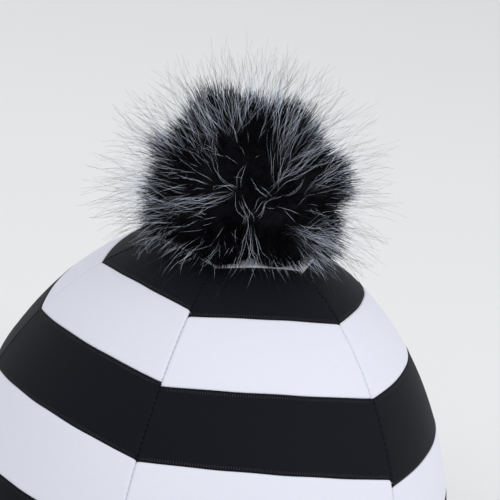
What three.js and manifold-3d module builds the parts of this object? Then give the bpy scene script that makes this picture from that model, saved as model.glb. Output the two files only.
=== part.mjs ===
// A jockey's cap in stretch cloth: six gores pieced from hoops of two colours, an elastic hem,
// a padded peak and a fur pompom on top. Millimetres, +Z up, the front towards -Y.
// Left and right are as seen by someone who looks at the front.
import * as THREE from "three";
import { mergeVertices } from "three/addons/utils/BufferGeometryUtils.js";
import Module from "manifold-3d";

const wasm = await Module();
wasm.setup();

// Crown
const crownWidth = 216;
const frontReach = 108.4; // from the crown's axis to the forehead, at the widest level
const backReach = 137.8; // from the crown's axis to the back of the head, at the widest level
const domeHeight = 143.5; // from the widest level up to the top
const rimDrop = 14; // from the widest level down to the rim
const rimDrawIn = 5; // how far the elastic pulls the rim in
const sideFullness = 1; // exponent of the dome's spread: 1 is an ellipse, less is fuller
const topFullness = 1.01; // exponent of the dome's rise: 1 is an ellipse, more is more pointed
const seamRidge = 0.022; // how much further out the seams lie than the gores' middles, as a share
const clothThickness = 1.5;
const seamGap = 0.3; // clearance between neighbouring pieces
const tipOpening = 8; // the gathered hole at the very top, under the pompom

// Hem
const hemHeight = 12;
const hemThickness = 2.5;

// Peak
const peakDepth = 54;
const peakGores = 1.6; // how many gores it runs round from corner to corner
const peakThickness = 3;
const peakRootMiddle = 21; // height over the rim at the centre line
const peakRootEnd = 6; // height over the rim at the corners
const peakFall = 9; // how far its front edge lies under its root
const peakCorner = 5; // depth at the corners
const peakRounding = 0.6; // exponent of its depth: less keeps it deep further to the sides
const peakFan = 0.6; // how far it points to the sides: 0 is straight ahead, 1 is square to the crown

// Pompom
const pomRadius = 41.5;
const pomSink = 17; // how deep the ball is pressed on to the crown's top
const seatFall = 0.62; // how far down the crown the ball is cut to fit it
const lockCount = 64;
const lockLength = 14; // mean length of a lock over the ball
const lockVariety = 4; // how much longer or shorter a lock may be
const lockBeat = 2.4; // in radians, the step between locks of the wave that varies their lengths
const lockWidth = 16;
const lockDroop = 5;
const lockRoot = 0.97; // share of the ball's radius from which a lock's length is counted
const lowestLock = -0.62; // sine of the angle under the ball's middle where the locks end

// A lock's cross-sections: their places as shares of its length, their widths as shares of its own.
const lockSections = [
  { way: -0.9, width: 0.8 },
  { way: 0, width: 1 },
  { way: 0.55, width: 0.62 },
  { way: 1, width: 0 },
];

// Mesh fineness
const goreColumns = 8;
const stripRows = 3;
const hemRows = 2;
const meridianSteps = 60;
const ovalSteps = 720;
const peakColumns = 32;
const peakRows = 4;
const seatRows = 12;
const lockSides = 4;
const pomRings = 8;
const weldDistance = 1e-4;

const goreNames = ["front", "right_front", "right_back", "back", "left_back", "left_front"];
const goreCount = goreNames.length;
const ringColumns = goreCount * goreColumns;

// The hoops from the top down. The gores are cut alike, so each row gives how far down from the top
// the hoop's lower edge lies at every gore's middle, and how much lower it lies at the gores' seams.
// Both are shares of the front gore's length. The last hoop reaches down to the hem.
const hoops = [
  { name: "tip", cloth: "white", edge: 0.146, seamDrop: 0.0191 },
  { name: "hoop_1", cloth: "black", edge: 0.272, seamDrop: 0.021 },
  { name: "hoop_2", cloth: "white", edge: 0.4158, seamDrop: 0.0222 },
  { name: "hoop_3", cloth: "black", edge: 0.556, seamDrop: 0.0248 },
  { name: "hoop_4", cloth: "white", edge: 0.698, seamDrop: 0.017 },
  { name: "hoop_5", cloth: "black", edge: 0.841, seamDrop: 0.008 },
  { name: "hoop_6", cloth: "white" },
];

// How much lower each edge lies at the front gore's right seam than at its middle, as such shares.
const frontTilts = [-0.0061, -0.0025, 0.0008, 0.0074, 0.002, 0];

// How much lower than in the front gore each edge lies in the others, as the sewing left it.
const strays = {
  right_front: [0, -0.0038, 0.0025, 0.0213, 0.006, -0.002],
  right_back: [0, 0.003, -0.0055, 0.004, -0.0035, 0.002],
  back: [0, -0.0035, 0.005, -0.004, 0.004, -0.0025],
  left_back: [0, -0.0103, -0.0065, 0.004, -0.0045, 0.0025],
  left_front: [0, -0.0115, -0.0083, -0.0096, -0.004, 0.003],
};

const whiteCloth = new THREE.MeshStandardMaterial({ color: 0xdbdde7, roughness: 0.75 });
const blackCloth = new THREE.MeshStandardMaterial({ color: 0x1b1b20, roughness: 0.6 });
const clothMaterials = { white: whiteCloth, black: blackCloth };
const hemMaterial = new THREE.MeshStandardMaterial({ color: 0x1b1b1f, roughness: 0.8 });
const furMaterial = new THREE.MeshStandardMaterial({ color: 0x0b0b0d, roughness: 0.95 });

// The widest level's outline as a smooth oval, before the gores flatten it. Turn runs round from the
// front in radians, positive to the right.
function ovalReach(turn) {
  return Math.cos(turn) > 0 ? frontReach : backReach;
}

function ovalPoint(turn) {
  return new THREE.Vector2((crownWidth / 2) * Math.sin(turn), -ovalReach(turn) * Math.cos(turn));
}

// The length of the oval from the back, round by the left, to each of many evenly spaced turns.
const ovalLengths = [0];
for (let i = 1; i <= ovalSteps; i += 1) {
  const from = ovalPoint(2 * Math.PI * ((i - 1) / ovalSteps - 0.5));
  const to = ovalPoint(2 * Math.PI * (i / ovalSteps - 0.5));
  ovalLengths.push(ovalLengths[i - 1] + from.distanceTo(to));
}
const ovalLength = ovalLengths[ovalSteps];

// The turn at which a number of gores has been passed on the oval, from the front's centre line.
function turnAt(gores) {
  const share = gores / goreCount + 0.5;
  const round = Math.floor(share);
  const length = (share - round) * ovalLength;
  let i = 1;
  while (i < ovalSteps && ovalLengths[i] < length) i += 1;
  const part = (length - ovalLengths[i - 1]) / (ovalLengths[i] - ovalLengths[i - 1]);
  return 2 * Math.PI * ((i - 1 + part) / ovalSteps - 0.5 + round);
}

// The other way about: how many gores have been passed at a turn.
function goresAt(turn) {
  const whole = turn / (2 * Math.PI) + 0.5;
  const round = Math.floor(whole);
  const place = (whole - round) * ovalSteps;
  const i = Math.min(Math.floor(place), ovalSteps - 1);
  const length = ovalLengths[i] + (ovalLengths[i + 1] - ovalLengths[i]) * (place - i);
  return goreCount * (length / ovalLength - 0.5 + round);
}

// The factor by which the crown lies out from the oval: over 1 at the seams, where the cloth is
// drawn to a soft ridge, and under 1 down the gores' middles.
function ridgeFactor(turn) {
  const gores = goresAt(turn);
  const across = 2 * (gores - Math.round(gores));
  return 1 + seamRidge * (across * across - 1 / 3);
}

// A point on the crown, offset mm out from the cloth's outer face. Fall is 0 at the top, 1 at the
// widest level and 2 at the rim, where the elastic has pulled the ridges flat.
function crownPoint(turn, fall, offset) {
  const u = (Math.min(fall, 1) * Math.PI) / 2;
  const below = Math.max(fall - 1, 0);
  const spread = Math.pow(Math.sin(u), sideFullness);
  const drawn = rimDrawIn * below * below;
  const factor = 1 + (ridgeFactor(turn) - 1) * (1 - below);
  const across = ((crownWidth / 2) * factor + offset - drawn) * spread;
  const along = (ovalReach(turn) * factor + offset - drawn) * spread;
  const rise = (domeHeight + offset) * Math.pow(Math.max(Math.cos(u), 0), topFullness);
  return new THREE.Vector3(
    across * Math.sin(turn),
    -along * Math.cos(turn),
    below > 0 ? rimDrop * (1 - below) : rimDrop + rise,
  );
}

// Cumulative lengths down the cloth's outer face at one turn, as pairs of fall and length.
function meridian(turn) {
  const table = [{ fall: 0, length: 0 }];
  let last = crownPoint(turn, 0, 0);
  for (let i = 1; i <= meridianSteps; i += 1) {
    const fall = (2 * i) / meridianSteps;
    const point = crownPoint(turn, fall, 0);
    table.push({ fall, length: table[i - 1].length + point.distanceTo(last) });
    last = point;
  }
  return table;
}

function meridianLength(table) {
  return table[table.length - 1].length;
}

const frontLength = meridianLength(meridian(0));

// The fall at a given length down the meridian.
function fallAt(table, length) {
  let i = 1;
  while (i < table.length - 1 && table[i].length < length) i += 1;
  const from = table[i - 1];
  const to = table[i];
  return from.fall + ((to.fall - from.fall) * (length - from.length)) / (to.length - from.length);
}

// One closed body from a grid of outer points and the inner points under them. A ring's last column
// joins its first.
function shellGeometry(outer, inner, ring) {
  const columns = outer.length;
  const rows = outer[0].length;
  const positions = [];
  for (const side of [outer, inner]) {
    for (const column of side) {
      for (const point of column) positions.push(point.x, point.y, point.z);
    }
  }
  const at = (side, i, j) => side * columns * rows + (i % columns) * rows + j;
  const index = [];
  const quad = (a, b, c, d) => index.push(a, b, c, a, c, d);
  const spans = ring ? columns : columns - 1;
  for (let i = 0; i < spans; i += 1) {
    for (let j = 0; j < rows - 1; j += 1) {
      quad(at(0, i, j), at(0, i, j + 1), at(0, i + 1, j + 1), at(0, i + 1, j));
      quad(at(1, i, j), at(1, i + 1, j), at(1, i + 1, j + 1), at(1, i, j + 1));
    }
    quad(at(0, i, 0), at(0, i + 1, 0), at(1, i + 1, 0), at(1, i, 0));
    quad(at(0, i, rows - 1), at(1, i, rows - 1), at(1, i + 1, rows - 1), at(0, i + 1, rows - 1));
  }
  if (!ring) {
    for (let j = 0; j < rows - 1; j += 1) {
      quad(at(0, 0, j), at(1, 0, j), at(1, 0, j + 1), at(0, 0, j + 1));
      const i = columns - 1;
      quad(at(0, i, j), at(0, i, j + 1), at(1, i, j + 1), at(1, i, j));
    }
  }
  const geometry = new THREE.BufferGeometry();
  geometry.setAttribute("position", new THREE.Float32BufferAttribute(positions, 3));
  geometry.setIndex(index);
  geometry.computeVertexNormals();
  return geometry;
}

function namedMesh(name, geometry, material) {
  const mesh = new THREE.Mesh(geometry, material);
  mesh.name = name;
  return mesh;
}

// How far down from the top a hoop's lower edge lies. Across runs from -1 at the gore's left seam
// to 1 at its right seam.
function edgeLength(hoopIndex, gore, across) {
  const hoop = hoops[hoopIndex];
  const askew = gore === "front" ? frontTilts[hoopIndex] * across : strays[gore][hoopIndex];
  return (hoop.edge + hoop.seamDrop * across * across + askew) * frontLength;
}

// One strip of one gore, between the lower edges of its own hoop and of the hoop above.
function stripGeometry(goreIndex, hoopIndex) {
  const gore = goreNames[goreIndex];
  const outer = [];
  const inner = [];
  for (let i = 0; i <= goreColumns; i += 1) {
    const across = (2 * i) / goreColumns - 1;
    const seamTurn = turnAt(goreIndex + across / 2);
    const table = meridian(seamTurn);
    const top = hoopIndex === 0
      ? tipOpening / 2
      : edgeLength(hoopIndex - 1, gore, across) + seamGap / 2;
    const bottom = hoopIndex === hoops.length - 1
      ? meridianLength(table) - hemHeight - seamGap
      : edgeLength(hoopIndex, gore, across) - seamGap / 2;
    const outerColumn = [];
    const innerColumn = [];
    for (let j = 0; j <= stripRows; j += 1) {
      const fall = fallAt(table, top + ((bottom - top) * j) / stripRows);
      const seamPoint = crownPoint(seamTurn, fall, 0);
      const turn = seamTurn - (across * seamGap) / 2 / Math.hypot(seamPoint.x, seamPoint.y);
      outerColumn.push(crownPoint(turn, fall, 0));
      innerColumn.push(crownPoint(turn, fall, -clothThickness));
    }
    outer.push(outerColumn);
    inner.push(innerColumn);
  }
  return shellGeometry(outer, inner, false);
}

function hemGeometry() {
  const outer = [];
  const inner = [];
  for (let i = 0; i < ringColumns; i += 1) {
    const turn = turnAt(i / goreColumns);
    const table = meridian(turn);
    const outerColumn = [];
    const innerColumn = [];
    for (let j = 0; j <= hemRows; j += 1) {
      const length = meridianLength(table) - hemHeight * (1 - j / hemRows);
      const fall = j === hemRows ? 2 : fallAt(table, length);
      outerColumn.push(crownPoint(turn, fall, 0));
      innerColumn.push(crownPoint(turn, fall, -hemThickness));
    }
    outer.push(outerColumn);
    inner.push(innerColumn);
  }
  return shellGeometry(outer, inner, true);
}

// The fall at a height over the rim.
function fallAtHeight(height) {
  if (height < rimDrop) return 2 - height / rimDrop;
  const rise = Math.min((height - rimDrop) / domeHeight, 1);
  return (Math.acos(Math.pow(rise, 1 / topFullness)) * 2) / Math.PI;
}

// The peak springs from the crown's cloth, is arched from side to side and falls to the front.
function peakGeometry() {
  const upper = [];
  const lower = [];
  for (let i = 0; i <= peakColumns; i += 1) {
    const side = (2 * i) / peakColumns - 1;
    const turn = turnAt((side * peakGores) / 2);
    const middleShare = 1 - side * side;
    const rootHeight = peakRootEnd + (peakRootMiddle - peakRootEnd) * middleShare;
    const depthShare = Math.pow(middleShare, peakRounding);
    const depth = peakCorner + (peakDepth - peakCorner) * depthShare;
    const ahead = Math.cos(turn) * peakFan + 1 - peakFan;
    const outward = new THREE.Vector3(Math.sin(turn) * peakFan, -ahead, 0);
    outward.normalize();
    const upperColumn = [];
    const lowerColumn = [];
    for (let j = 0; j <= peakRows; j += 1) {
      const way = j / peakRows;
      const fallen = peakFall * depthShare * way * way;
      for (const face of [1, -1]) {
        const height = rootHeight + (face * peakThickness) / 2;
        const root = crownPoint(turn, fallAtHeight(height), seamGap);
        root.z = height;
        const point = root.addScaledVector(outward, depth * way);
        point.z -= fallen;
        (face > 0 ? upperColumn : lowerColumn).push(point);
      }
    }
    upper.push(upperColumn);
    lower.push(lowerColumn);
  }
  return shellGeometry(upper, lower, false);
}

function toSolid(geometry) {
  const bare = new THREE.BufferGeometry();
  bare.setAttribute("position", geometry.getAttribute("position"));
  bare.setIndex(geometry.index);
  const merged = mergeVertices(bare, weldDistance);
  return new wasm.Manifold(new wasm.Mesh({
    numProp: 3,
    vertProperties: merged.attributes.position.array,
    triVerts: new Uint32Array(merged.index.array),
  }));
}

function toGeometry(solid) {
  const mesh = solid.getMesh();
  const geometry = new THREE.BufferGeometry();
  geometry.setAttribute("position", new THREE.Float32BufferAttribute(mesh.vertProperties, 3));
  geometry.setIndex(new THREE.Uint32BufferAttribute(mesh.triVerts, 1));
  geometry.computeVertexNormals();
  return geometry;
}

const pomCentre = new THREE.Vector3(0, 0, rimDrop + domeHeight + pomRadius - pomSink);

// A lock is a bent, tapered tuft: rings of points from inside the ball out to one point at its tip.
function lockGeometry(direction, length, twist) {
  const down = new THREE.Vector3(0, 0, -1);
  const steep = Math.abs(direction.z) > Math.hypot(direction.x, direction.y);
  const helper = steep ? new THREE.Vector3(1, 0, 0) : new THREE.Vector3(0, 0, 1);
  const side = new THREE.Vector3().crossVectors(direction, helper).normalize();
  const other = new THREE.Vector3().crossVectors(direction, side);
  const positions = [];
  for (const section of lockSections) {
    const centre = pomCentre.clone()
      .addScaledVector(direction, pomRadius * lockRoot + section.way * length)
      .addScaledVector(down, lockDroop * Math.max(section.way, 0) ** 2);
    const points = section.width === 0 ? 1 : lockSides;
    for (let k = 0; k < points; k += 1) {
      const angle = twist + (2 * Math.PI * k) / lockSides;
      const radius = (lockWidth / 2) * section.width;
      const point = centre.clone()
        .addScaledVector(side, radius * Math.cos(angle))
        .addScaledVector(other, radius * Math.sin(angle));
      positions.push(point.x, point.y, point.z);
    }
  }
  const index = [];
  const rings = lockSections.length - 1;
  for (let k = 0; k < lockSides; k += 1) {
    const next = (k + 1) % lockSides;
    for (let ring = 0; ring < rings - 1; ring += 1) {
      const low = ring * lockSides;
      const high = low + lockSides;
      index.push(low + k, low + next, high + next, low + k, high + next, high + k);
    }
    const top = (rings - 1) * lockSides;
    index.push(top + k, top + next, rings * lockSides);
    if (k > 0 && k < lockSides - 1) index.push(0, next, k);
  }
  const geometry = new THREE.BufferGeometry();
  geometry.setAttribute("position", new THREE.Float32BufferAttribute(positions, 3));
  geometry.setIndex(index);
  return geometry;
}

// What the ball is pressed on to: the crown's outer face with the seam's clearance over it.
function crownSeatSolid() {
  const positions = [0, 0, rimDrop + domeHeight + seamGap];
  for (let j = 1; j <= seatRows; j += 1) {
    for (let i = 0; i < ringColumns; i += 1) {
      const point = crownPoint(turnAt(i / goreColumns), (seatFall * j) / seatRows, seamGap);
      positions.push(point.x, point.y, point.z);
    }
  }
  const centre = positions.length / 3;
  positions.push(0, 0, crownPoint(0, seatFall, 0).z);
  const index = [];
  for (let i = 0; i < ringColumns; i += 1) {
    const next = (i + 1) % ringColumns;
    index.push(0, 1 + i, 1 + next);
    for (let j = 0; j < seatRows - 1; j += 1) {
      const a = 1 + j * ringColumns;
      const b = a + ringColumns;
      index.push(a + i, b + i, b + next, a + i, b + next, a + next);
    }
    const last = 1 + (seatRows - 1) * ringColumns;
    index.push(last + i, centre, last + next);
  }
  const geometry = new THREE.BufferGeometry();
  geometry.setAttribute("position", new THREE.Float32BufferAttribute(positions, 3));
  geometry.setIndex(index);
  return toSolid(geometry);
}

function pomGeometry() {
  const ball = new THREE.SphereGeometry(pomRadius, 2 * pomRings, pomRings);
  ball.rotateX(Math.PI / 2);
  ball.translate(pomCentre.x, pomCentre.y, pomCentre.z);
  ball.deleteAttribute("normal");
  ball.deleteAttribute("uv");
  let solid = toSolid(ball);
  const goldenTurn = Math.PI * (3 - Math.sqrt(5));
  for (let i = 0; i < lockCount; i += 1) {
    const rise = 1 - ((1 - lowestLock) * (i + 0.5)) / lockCount;
    const turn = i * goldenTurn;
    const spread = Math.sqrt(1 - rise * rise);
    const direction = new THREE.Vector3(spread * Math.cos(turn), spread * Math.sin(turn), rise);
    const length = lockLength + lockVariety * Math.sin(i * lockBeat);
    solid = solid.add(toSolid(lockGeometry(direction, length, i)));
  }
  return toGeometry(solid.subtract(crownSeatSolid()));
}

const cap = new THREE.Group();
goreNames.forEach((gore, goreIndex) => {
  hoops.forEach((hoop, hoopIndex) => {
    const name = `${gore}_${hoop.name}`;
    cap.add(namedMesh(name, stripGeometry(goreIndex, hoopIndex), clothMaterials[hoop.cloth]));
  });
});
cap.add(namedMesh("hem", hemGeometry(), hemMaterial));
cap.add(namedMesh("peak", peakGeometry(), blackCloth));
cap.add(namedMesh("pompom", pomGeometry(), furMaterial));

// The origin is under the middle of the whole cap's box, at the level of the rim.
const middle = new THREE.Box3().setFromObject(cap).getCenter(new THREE.Vector3());
cap.position.set(-middle.x, -middle.y, 0);

export default cap;
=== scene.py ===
# A jockey's cap in stretch cloth with a fur pompom, dressed round its fixed frame.
# Metres, +Z up, the front towards -Y. Left and right are as seen by someone who looks at the front.
import math

import bpy
import numpy as np
from mathutils import Matrix, Vector


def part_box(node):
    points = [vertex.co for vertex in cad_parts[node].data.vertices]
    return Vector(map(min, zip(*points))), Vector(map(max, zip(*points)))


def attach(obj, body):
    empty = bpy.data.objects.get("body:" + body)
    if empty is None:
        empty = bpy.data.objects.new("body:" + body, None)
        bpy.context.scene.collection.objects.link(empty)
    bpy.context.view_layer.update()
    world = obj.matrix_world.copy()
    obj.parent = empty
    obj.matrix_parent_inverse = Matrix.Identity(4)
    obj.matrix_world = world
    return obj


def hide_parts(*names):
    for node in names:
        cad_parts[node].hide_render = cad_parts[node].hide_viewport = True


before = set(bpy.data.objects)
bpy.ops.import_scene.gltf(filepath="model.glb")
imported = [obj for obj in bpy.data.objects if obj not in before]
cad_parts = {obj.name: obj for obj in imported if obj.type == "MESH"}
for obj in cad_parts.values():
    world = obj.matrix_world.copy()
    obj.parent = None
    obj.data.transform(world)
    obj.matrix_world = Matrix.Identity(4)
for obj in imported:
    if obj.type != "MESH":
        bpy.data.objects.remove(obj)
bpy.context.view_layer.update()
MM = 0.001

# The camera
# It looks down on the crown's top from the front, a little from the left, through a long lens,
# and leans over, so that the picture ends at the crown's sides and well above the rim.
AXIS_BEHIND_FRONT = 107.58 * MM
CROWN_AXIS_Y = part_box("front_hoop_6")[0][1] + AXIS_BEHIND_FRONT
CAMERA_TURN = math.radians(-16.4)
CAMERA_RISE = math.radians(15.55)
CAMERA_LEAN = math.radians(9.09)
CAMERA_DISTANCE = 643.5 * MM
CAMERA_AIM = Vector((3.87 * MM, CROWN_AXIS_Y, 149.43 * MM))
NEAREST_SEEN = 0.05
FARTHEST_SEEN = 50
LENS = 113.15
SENSOR = 36.0

back = Vector((
    math.sin(CAMERA_TURN) * math.cos(CAMERA_RISE),
    -math.cos(CAMERA_TURN) * math.cos(CAMERA_RISE),
    math.sin(CAMERA_RISE),
))
level = Vector((math.cos(CAMERA_TURN), math.sin(CAMERA_TURN), 0))
upright = back.cross(level)
right = level * math.cos(CAMERA_LEAN) + upright * math.sin(CAMERA_LEAN)
up = upright * math.cos(CAMERA_LEAN) - level * math.sin(CAMERA_LEAN)
camera_data = bpy.data.cameras.new("camera")
camera_data.lens = LENS
camera_data.sensor_width = SENSOR
camera_data.clip_start = NEAREST_SEEN
camera_data.clip_end = FARTHEST_SEEN
camera = bpy.data.objects.new("camera", camera_data)
turned = Matrix((right, up, back)).transposed().to_4x4()
camera.matrix_world = Matrix.Translation(CAMERA_AIM + back * CAMERA_DISTANCE) @ turned
bpy.context.scene.collection.objects.link(camera)
bpy.context.scene.camera = camera


# The room
# A pale matt floor that runs far out, an even sky, and one large soft lamp high on the right
# with a weaker one on the left.
FLOOR_SIZE = 30.0
FLOOR_GREY = (0.80, 0.80, 0.797)
SKY = (0.97, 0.98, 1.0)
SKY_STRENGTH = 0.86
LAMP_AIM = Vector((0, CROWN_AXIS_Y, 0.12))


def add_object(name, data):
    added = bpy.data.objects.new(name, data)
    bpy.context.scene.collection.objects.link(added)
    return added


def principled(name, finish):
    """A material, its tree and its Principled shader, with the finish's values on their sockets."""
    material = bpy.data.materials.new(name)
    material.use_nodes = True
    shader = material.node_tree.nodes["Principled BSDF"]
    for socket, value in finish.items():
        shader.inputs[socket].default_value = value
    return material, material.node_tree, shader


def soft_lamp(name, place, size, power):
    lamp_data = bpy.data.lights.new(name, "AREA")
    lamp_data.shape = "DISK"
    lamp_data.size = size
    lamp_data.energy = power
    lamp = add_object(name, lamp_data)
    lamp.rotation_euler = (LAMP_AIM - Vector(place)).to_track_quat("-Z", "Y").to_euler()
    lamp.location = place


half = FLOOR_SIZE / 2
floor_corners = [(-half, -half, 0), (half, -half, 0), (half, half, 0), (-half, half, 0)]
floor_mesh = bpy.data.meshes.new("floor")
floor_mesh.from_pydata(floor_corners, [], [(0, 1, 2, 3)])
floor = add_object("floor", floor_mesh)
paper = {"Base Color": (*FLOOR_GREY, 1), "Roughness": 0.9, "Specular IOR Level": 0.1}
floor_mesh.materials.append(principled("floor_paper", paper)[0])

world = bpy.data.worlds.new("room")
world.use_nodes = True
world.node_tree.nodes["Background"].inputs["Color"].default_value = (*SKY, 1)
world.node_tree.nodes["Background"].inputs["Strength"].default_value = SKY_STRENGTH
bpy.context.scene.world = world
bpy.context.scene.view_settings.view_transform = "Standard"
bpy.context.scene.view_settings.look = "None"
soft_lamp("key_lamp", place=(1.46, -2.32, 1.57), size=1.4, power=29)
soft_lamp("fill_lamp", place=(-1.62, -0.8, 2.1), size=1.6, power=9)


# The crown's cloth
# Six gores, each pieced from seven strips of smooth stretch knit, white and black by turns. The
# strips are joined by overlocked seams. The crown has a light ridge at its gore seams, where the
# cloth rolls inwards and puckers, and the hoops miss each other there by a little.
CROWN_HALF_WIDTH = 108 * MM
FRONT_REACH = 108.4 * MM
BACK_REACH = 137.8 * MM
DOME_HEIGHT = 143.5 * MM
RIM_DROP = 14 * MM
RIM_DRAW_IN = 5 * MM
TOP_FULLNESS = 1.01
SEAM_RIDGE = 0.022
OVAL_POINTS = 1441
GORES = ("front", "right_front", "right_back", "back", "left_back", "left_front")


def oval_reach(turn):
    """How far the widest level reaches, to the front or to the back."""
    return np.where(np.cos(turn) > 0, FRONT_REACH, BACK_REACH)


# The widest level as a smooth oval, and how many gores have been passed at each turn from the front.
oval_turns = np.linspace(-math.pi, math.pi, OVAL_POINTS)
oval_sides = CROWN_HALF_WIDTH * np.sin(oval_turns)
oval_points = np.stack([oval_sides, -oval_reach(oval_turns) * np.cos(oval_turns)], -1)
oval_steps = np.linalg.norm(np.diff(oval_points, axis=0), axis=1)
oval_lengths = np.concatenate([[0], np.cumsum(oval_steps)])
oval_gores = len(GORES) * (oval_lengths / oval_lengths[-1] - 0.5)


def turn_at(gores):
    """The turn at which a number of gores has been passed, counted from the front gore's middle."""
    rounds = math.floor(gores / len(GORES) + 0.5)
    turn = float(np.interp(gores - len(GORES) * rounds, oval_gores, oval_turns))
    return turn + 2 * math.pi * rounds


def crown_point(turn, fall, out=0.0):
    """A point out from the crown's face. Fall is 0 at the top, 1 where it is widest, 2 at the rim."""
    turn, fall, out = np.broadcast_arrays(turn, fall, out)
    gores = np.interp((turn + math.pi) % (2 * math.pi) - math.pi, oval_turns, oval_gores)
    across = 2 * (gores - np.round(gores))
    tilt = np.minimum(fall, 1) * math.pi / 2
    below = np.maximum(fall - 1, 0)
    ridge = 1 + SEAM_RIDGE * (across**2 - 1 / 3) * (1 - below)
    spread = np.sin(tilt)
    drawn = RIM_DRAW_IN * below**2
    rise = (DOME_HEIGHT + out) * np.maximum(np.cos(tilt), 0) ** TOP_FULLNESS
    x = (CROWN_HALF_WIDTH * ridge + out - drawn) * spread * np.sin(turn)
    y = CROWN_AXIS_Y - (oval_reach(turn) * ridge + out - drawn) * spread * np.cos(turn)
    z = np.where(below > 0, RIM_DROP * (1 - below), RIM_DROP + rise)
    return np.stack([x, y, z], -1)


def meridian(turn, steps=240):
    """The falls down one line from the top to the rim, and the length of cloth down to each."""
    falls = np.linspace(0, 2, steps)
    steps_long = np.linalg.norm(np.diff(crown_point(turn, falls), axis=0), axis=1)
    return falls, np.concatenate([[0], np.cumsum(steps_long)])


CLOTH_THICKNESS = 1.1 * MM
UNDERSIDE_DROP = 0.35 * MM
JOIN_GAP = 0.12 * MM
TIP_OPENING = 8 * MM
HEM_HEIGHT = 12 * MM
HEM_GAP = 0.3 * MM
WHITE = (0.685, 0.695, 0.775)
BLACK = (0.005, 0.0055, 0.0085)
# How far down from the top each hoop's lower edge lies, and how much lower at the gore seams, as
# shares of the front gore's length. The gores are cut alike. The last hoop reaches to the hem.
FRONT_LENGTH = meridian(0.0)[1][-1]
HOOPS = (
    {"name": "tip", "cloth": "white", "edge": 0.146, "drop": 0.0191},
    {"name": "hoop_1", "cloth": "black", "edge": 0.272, "drop": 0.021},
    {"name": "hoop_2", "cloth": "white", "edge": 0.4158, "drop": 0.0222},
    {"name": "hoop_3", "cloth": "black", "edge": 0.556, "drop": 0.0248},
    {"name": "hoop_4", "cloth": "white", "edge": 0.698, "drop": 0.017},
    {"name": "hoop_5", "cloth": "black", "edge": 0.841, "drop": 0.008},
    {"name": "hoop_6", "cloth": "white"},
)
# How much lower each edge lies at the front gore's right seam, and in the other gores.
FRONT_TILTS = (-0.0061, -0.0025, 0.0008, 0.0074, 0.002, 0)
STRAYS = {
    "right_front": (0, -0.0038, 0.0025, 0.0213, 0.006, -0.002),
    "right_back": (0, 0.003, -0.0055, 0.004, -0.0035, 0.002),
    "back": (0, -0.0035, 0.005, -0.004, 0.004, -0.0025),
    "left_back": (0, -0.0103, -0.0065, 0.004, -0.0045, 0.0025),
    "left_front": (0, -0.0115, -0.0083, -0.0096, -0.004, 0.003),
}
# A sewn edge wavers a little, and at the gore seams the white cloth's edges are tucked in. Each gore
# and hoop wavers and puckers in its own places, which these steps set.
EDGE_WAVER = 0.1 * MM
EDGE_WAVER_LENGTH = 4.5 * MM
WAVER_GORE_STEP = 1.7
WAVER_HOOP_STEP = 2.3
PUCKER_GORE_STEP = 1.3
PUCKER_HOOP_STEP = 0.7
TUCK = 0.25 * MM
TUCK_WIDTH = 0.9 * MM
# How deep the cloth rolls inwards at a gore seam and at a hoop's edge, and puckers at the seam.
SEAM_ROLL = 0.5 * MM
SEAM_ROLL_WIDTH = 0.42 * MM
EDGE_ROLL = 0.32 * MM
EDGE_ROLL_WIDTH = 0.35 * MM
PUCKER = 0.13 * MM
PUCKER_LENGTH = 1.05 * MM
PUCKER_REACH = 3 * MM
PUCKER_SWELL = 17 * MM
# How far from a seam the fine rows and columns of a strip's mesh lie, and their part of its span.
FINE_STEPS = np.array([0, 0.2, 0.45, 0.8, 1.3, 2.1, 3.4]) * MM
FINE_SHARE = 0.3
COARSE_STEP = 4 * MM
# How much longer a gore's arc is than the two chords that it is measured by.
ARC_OVER_CHORDS = 1.02
# The map of the cut cloth has this many millimetres to its unit.
CUT_MM = 100


def edge_length(hoop_index, gore_index, across, half_width):
    """How far down the cloth a hoop's lower edge lies. Across runs from -1 to 1 over the gore."""
    hoop = HOOPS[hoop_index]
    gore = GORES[gore_index]
    askew = FRONT_TILTS[hoop_index] * across if gore == "front" else STRAYS[gore][hoop_index]
    phase = WAVER_GORE_STEP * gore_index + WAVER_HOOP_STEP * hoop_index
    waver = EDGE_WAVER * np.sin(across * half_width / EDGE_WAVER_LENGTH + phase) * (1 - across**2)
    from_seam = (1 - abs(across)) * half_width
    tuck = TUCK * np.exp(-((from_seam / TUCK_WIDTH) ** 2))
    tucked = tuck if hoop["cloth"] == "black" else -tuck
    return (hoop["edge"] + hoop["drop"] * across**2 + askew) * FRONT_LENGTH + waver + tucked


def strip_ends(hoop_index, gore_index, across, half_width, whole):
    """How far down the cloth a strip begins and ends. Whole is the cloth's length down to the rim."""
    top, bottom = TIP_OPENING / 2, whole - HEM_HEIGHT - HEM_GAP
    if hoop_index > 0:
        top = edge_length(hoop_index - 1, gore_index, across, half_width) + JOIN_GAP / 2
    if hoop_index < len(HOOPS) - 1:
        bottom = edge_length(hoop_index, gore_index, across, half_width) - JOIN_GAP / 2
    return top, bottom


def fine_then_coarse(span):
    """Places from 0 to span, close together at both ends."""
    fine = FINE_STEPS * min(1.0, FINE_SHARE * span / FINE_STEPS[-1])
    inner = span - 2 * fine[-1]
    count = max(2, round(inner / COARSE_STEP) + 1)
    middle = np.linspace(fine[-1], span - fine[-1], count)
    return np.concatenate([fine[:-1], middle, span - fine[:-1][::-1]])


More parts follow.
